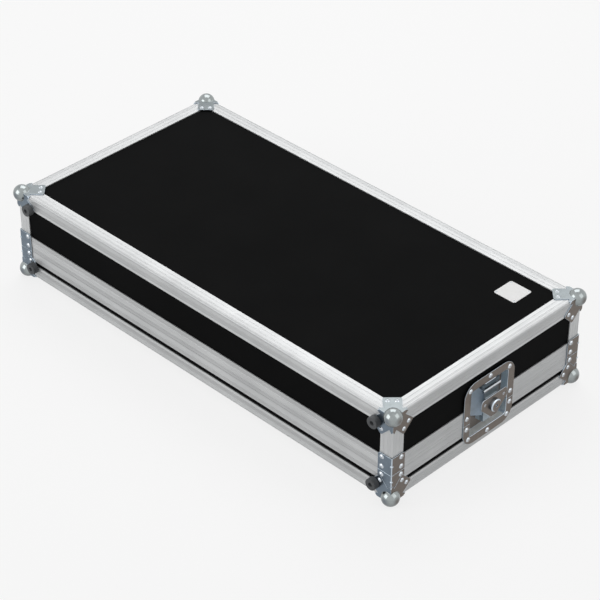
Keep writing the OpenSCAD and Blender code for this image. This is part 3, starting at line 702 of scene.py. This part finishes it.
def makePad(name, source, body, upward, wavy):
    low, high = (Vector(corner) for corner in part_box(source))
    middle = (low + high) / 2
    half = (high - low) / 2 - Vector((foamPad["inset"], foamPad["inset"], 0))
    bm = bmesh.new()
    across, along = (int(2 * side / foamPad["cell"]) for side in (half.x, half.y))
    bmesh.ops.create_grid(bm, x_segments=across, y_segments=along, size=1)
    bmesh.ops.scale(bm, vec=(half.x, half.y, 1), verts=bm.verts)
    flat = list(bm.verts)
    made = bmesh.ops.extrude_face_region(bm, geom=bm.faces[:], use_keep_orig=True)["geom"]
    soft = {item for item in made if isinstance(item, bmesh.types.BMVert)}
    base = low.z if upward else high.z
    face = high.z if upward else low.z
    sign = 1 if upward else -1
    for vert in flat:
        vert.co = (middle.x + vert.co.x, middle.y + vert.co.y, base)
    for vert in soft:
        x, y = vert.co.x, vert.co.y
        distance = min(half.x - abs(x), half.y - abs(y))
        sink = edgeDrop(distance, foamPad["edgeRadius"])
        if wavy:
            turn = 2 * math.pi / foamPad["wavePitch"]
            wave = math.cos(turn * x) * math.cos(turn * y)
            sink = max(sink, foamPad["waveDepth"] * (0.5 - 0.5 * wave))
        else:
            sink += foamPad["crown"] * ((x / half.x) ** 2 + (y / half.y) ** 2) / 2
        vert.co = (middle.x + x, middle.y + y, face - sign * sink)
    bmesh.ops.recalc_face_normals(bm, faces=bm.faces)
    bm.normal_update()
    piece = finishPiece(name, bm, body, [foamLining], source)


makePad("floorPad", "base_foam", "base", True, False)
makePad("eggCratePad", "hood_foam", "hood", False, True)
print("foam made")

# Stage

studio = {
    "aim": (0.0, 0.0, 0.08),
    "floorSize": 24.0,
    "floorColour": (0.9, 0.9, 0.9, 1),
    "floorRough": 0.9,
    "bounceColour": (0.45, 0.45, 0.45, 1),
    "glowShare": 0.8,
    "worldLevel": 0.26,
    # name: place, size, watts; each is aimed at the case
    "lamps": {
        "topBox": ((-0.9, 1.1, 2.3), 2.2, 30.5),
        "frontBox": ((-1.2, -3.2, 1.5), 2.6, 42.0),
        "endBox": ((2.8, 0.7, 2.1), 2.6, 18.0),
    },
}


def seenPath(tree):
    # 1 for what the camera, glossy and transmission rays see, 0 for diffuse light
    paths = tree.nodes.new("ShaderNodeLightPath")
    total = paths.outputs["Is Camera Ray"]
    for name in ("Is Glossy Ray", "Is Transmission Ray"):
        either = tree.nodes.new("ShaderNodeMath")
        either.operation = "MAXIMUM"
        tree.links.new(total, either.inputs[0])
        tree.links.new(paths.outputs[name], either.inputs[1])
        total = either.outputs[0]
    return total


def makeFloor():
    bm = bmesh.new()
    bmesh.ops.create_grid(bm, x_segments=1, y_segments=1, size=studio["floorSize"] / 2)
    mesh = bpy.data.meshes.new("floor")
    bm.to_mesh(mesh)
    bm.free()
    floor = bpy.data.objects.new("floor", mesh)
    bpy.context.scene.collection.objects.link(floor)
    material, tree, shader = newMaterial("paleFloor")
    seen = seenPath(tree)
    shown = mixColours(tree, seen, studio["bounceColour"], studio["floorColour"])
    tree.links.new(shown, shader.inputs["Base Color"])
    shader.inputs["Roughness"].default_value = studio["floorRough"]
    shader.inputs["Specular IOR Level"].default_value = 0.0
    glow = tree.nodes.new("ShaderNodeEmission")
    blend = tree.nodes.new("ShaderNodeMixShader")
    tree.links.new(spread(tree, seen, 0.0, studio["glowShare"], 0.0, 1.0), blend.inputs["Fac"])
    tree.links.new(shader.outputs["BSDF"], blend.inputs[1])
    tree.links.new(glow.outputs["Emission"], blend.inputs[2])
    tree.links.new(blend.outputs["Shader"], tree.nodes["Material Output"].inputs["Surface"])
    mesh.materials.append(material)


def makeWorld():
    world = bpy.data.worlds.new("studio")
    bpy.context.scene.world = world
    world.use_nodes = True
    tree = world.node_tree
    background = tree.nodes["Background"]
    background.inputs["Color"].default_value = (1, 1, 1, 1)
    level = tree.nodes.new("ShaderNodeMapRange")
    level.inputs["To Min"].default_value = studio["worldLevel"]
    level.inputs["To Max"].default_value = 1.0
    tree.links.new(seenPath(tree), level.inputs["Value"])
    tree.links.new(level.outputs["Result"], background.inputs["Strength"])


def makeLamps():
    for name, (place, size, watts) in studio["lamps"].items():
        lamp = bpy.data.lights.new(name, "AREA")
        lamp.size = size
        lamp.energy = watts
        holder = bpy.data.objects.new(name, lamp)
        holder.location = place
        aim = Vector(studio["aim"]) - Vector(place)
        holder.rotation_euler = aim.to_track_quat("-Z", "Y").to_euler()
        bpy.context.scene.collection.objects.link(holder)


# The photograph's camera: turns in degrees, sensor and lens in millimetres
view = {
    "place": (1.8689, -1.86345, 1.9482),
    "azimuth": 44.795,
    "elevation": 35.757,
    "roll": 0.106,
    "sensor": 36.0,
    "lens": 130.25,
}


def makeCamera():
    data = bpy.data.cameras.new("photoCamera")
    data.sensor_width = view["sensor"]
    data.lens = view["lens"]
    camera = bpy.data.objects.new("photoCamera", data)
    tilt = Euler((math.radians(90 - view["elevation"]), 0, math.radians(view["azimuth"])))
    roll = Matrix.Rotation(math.radians(view["roll"]), 4, "Z")
    camera.matrix_world = Matrix.Translation(view["place"]) @ tilt.to_matrix().to_4x4() @ roll
    bpy.context.scene.collection.objects.link(camera)
    bpy.context.scene.camera = camera


makeFloor()
makeWorld()
makeLamps()
makeCamera()
bpy.context.scene.view_settings.view_transform = "Standard"
print("stage set")
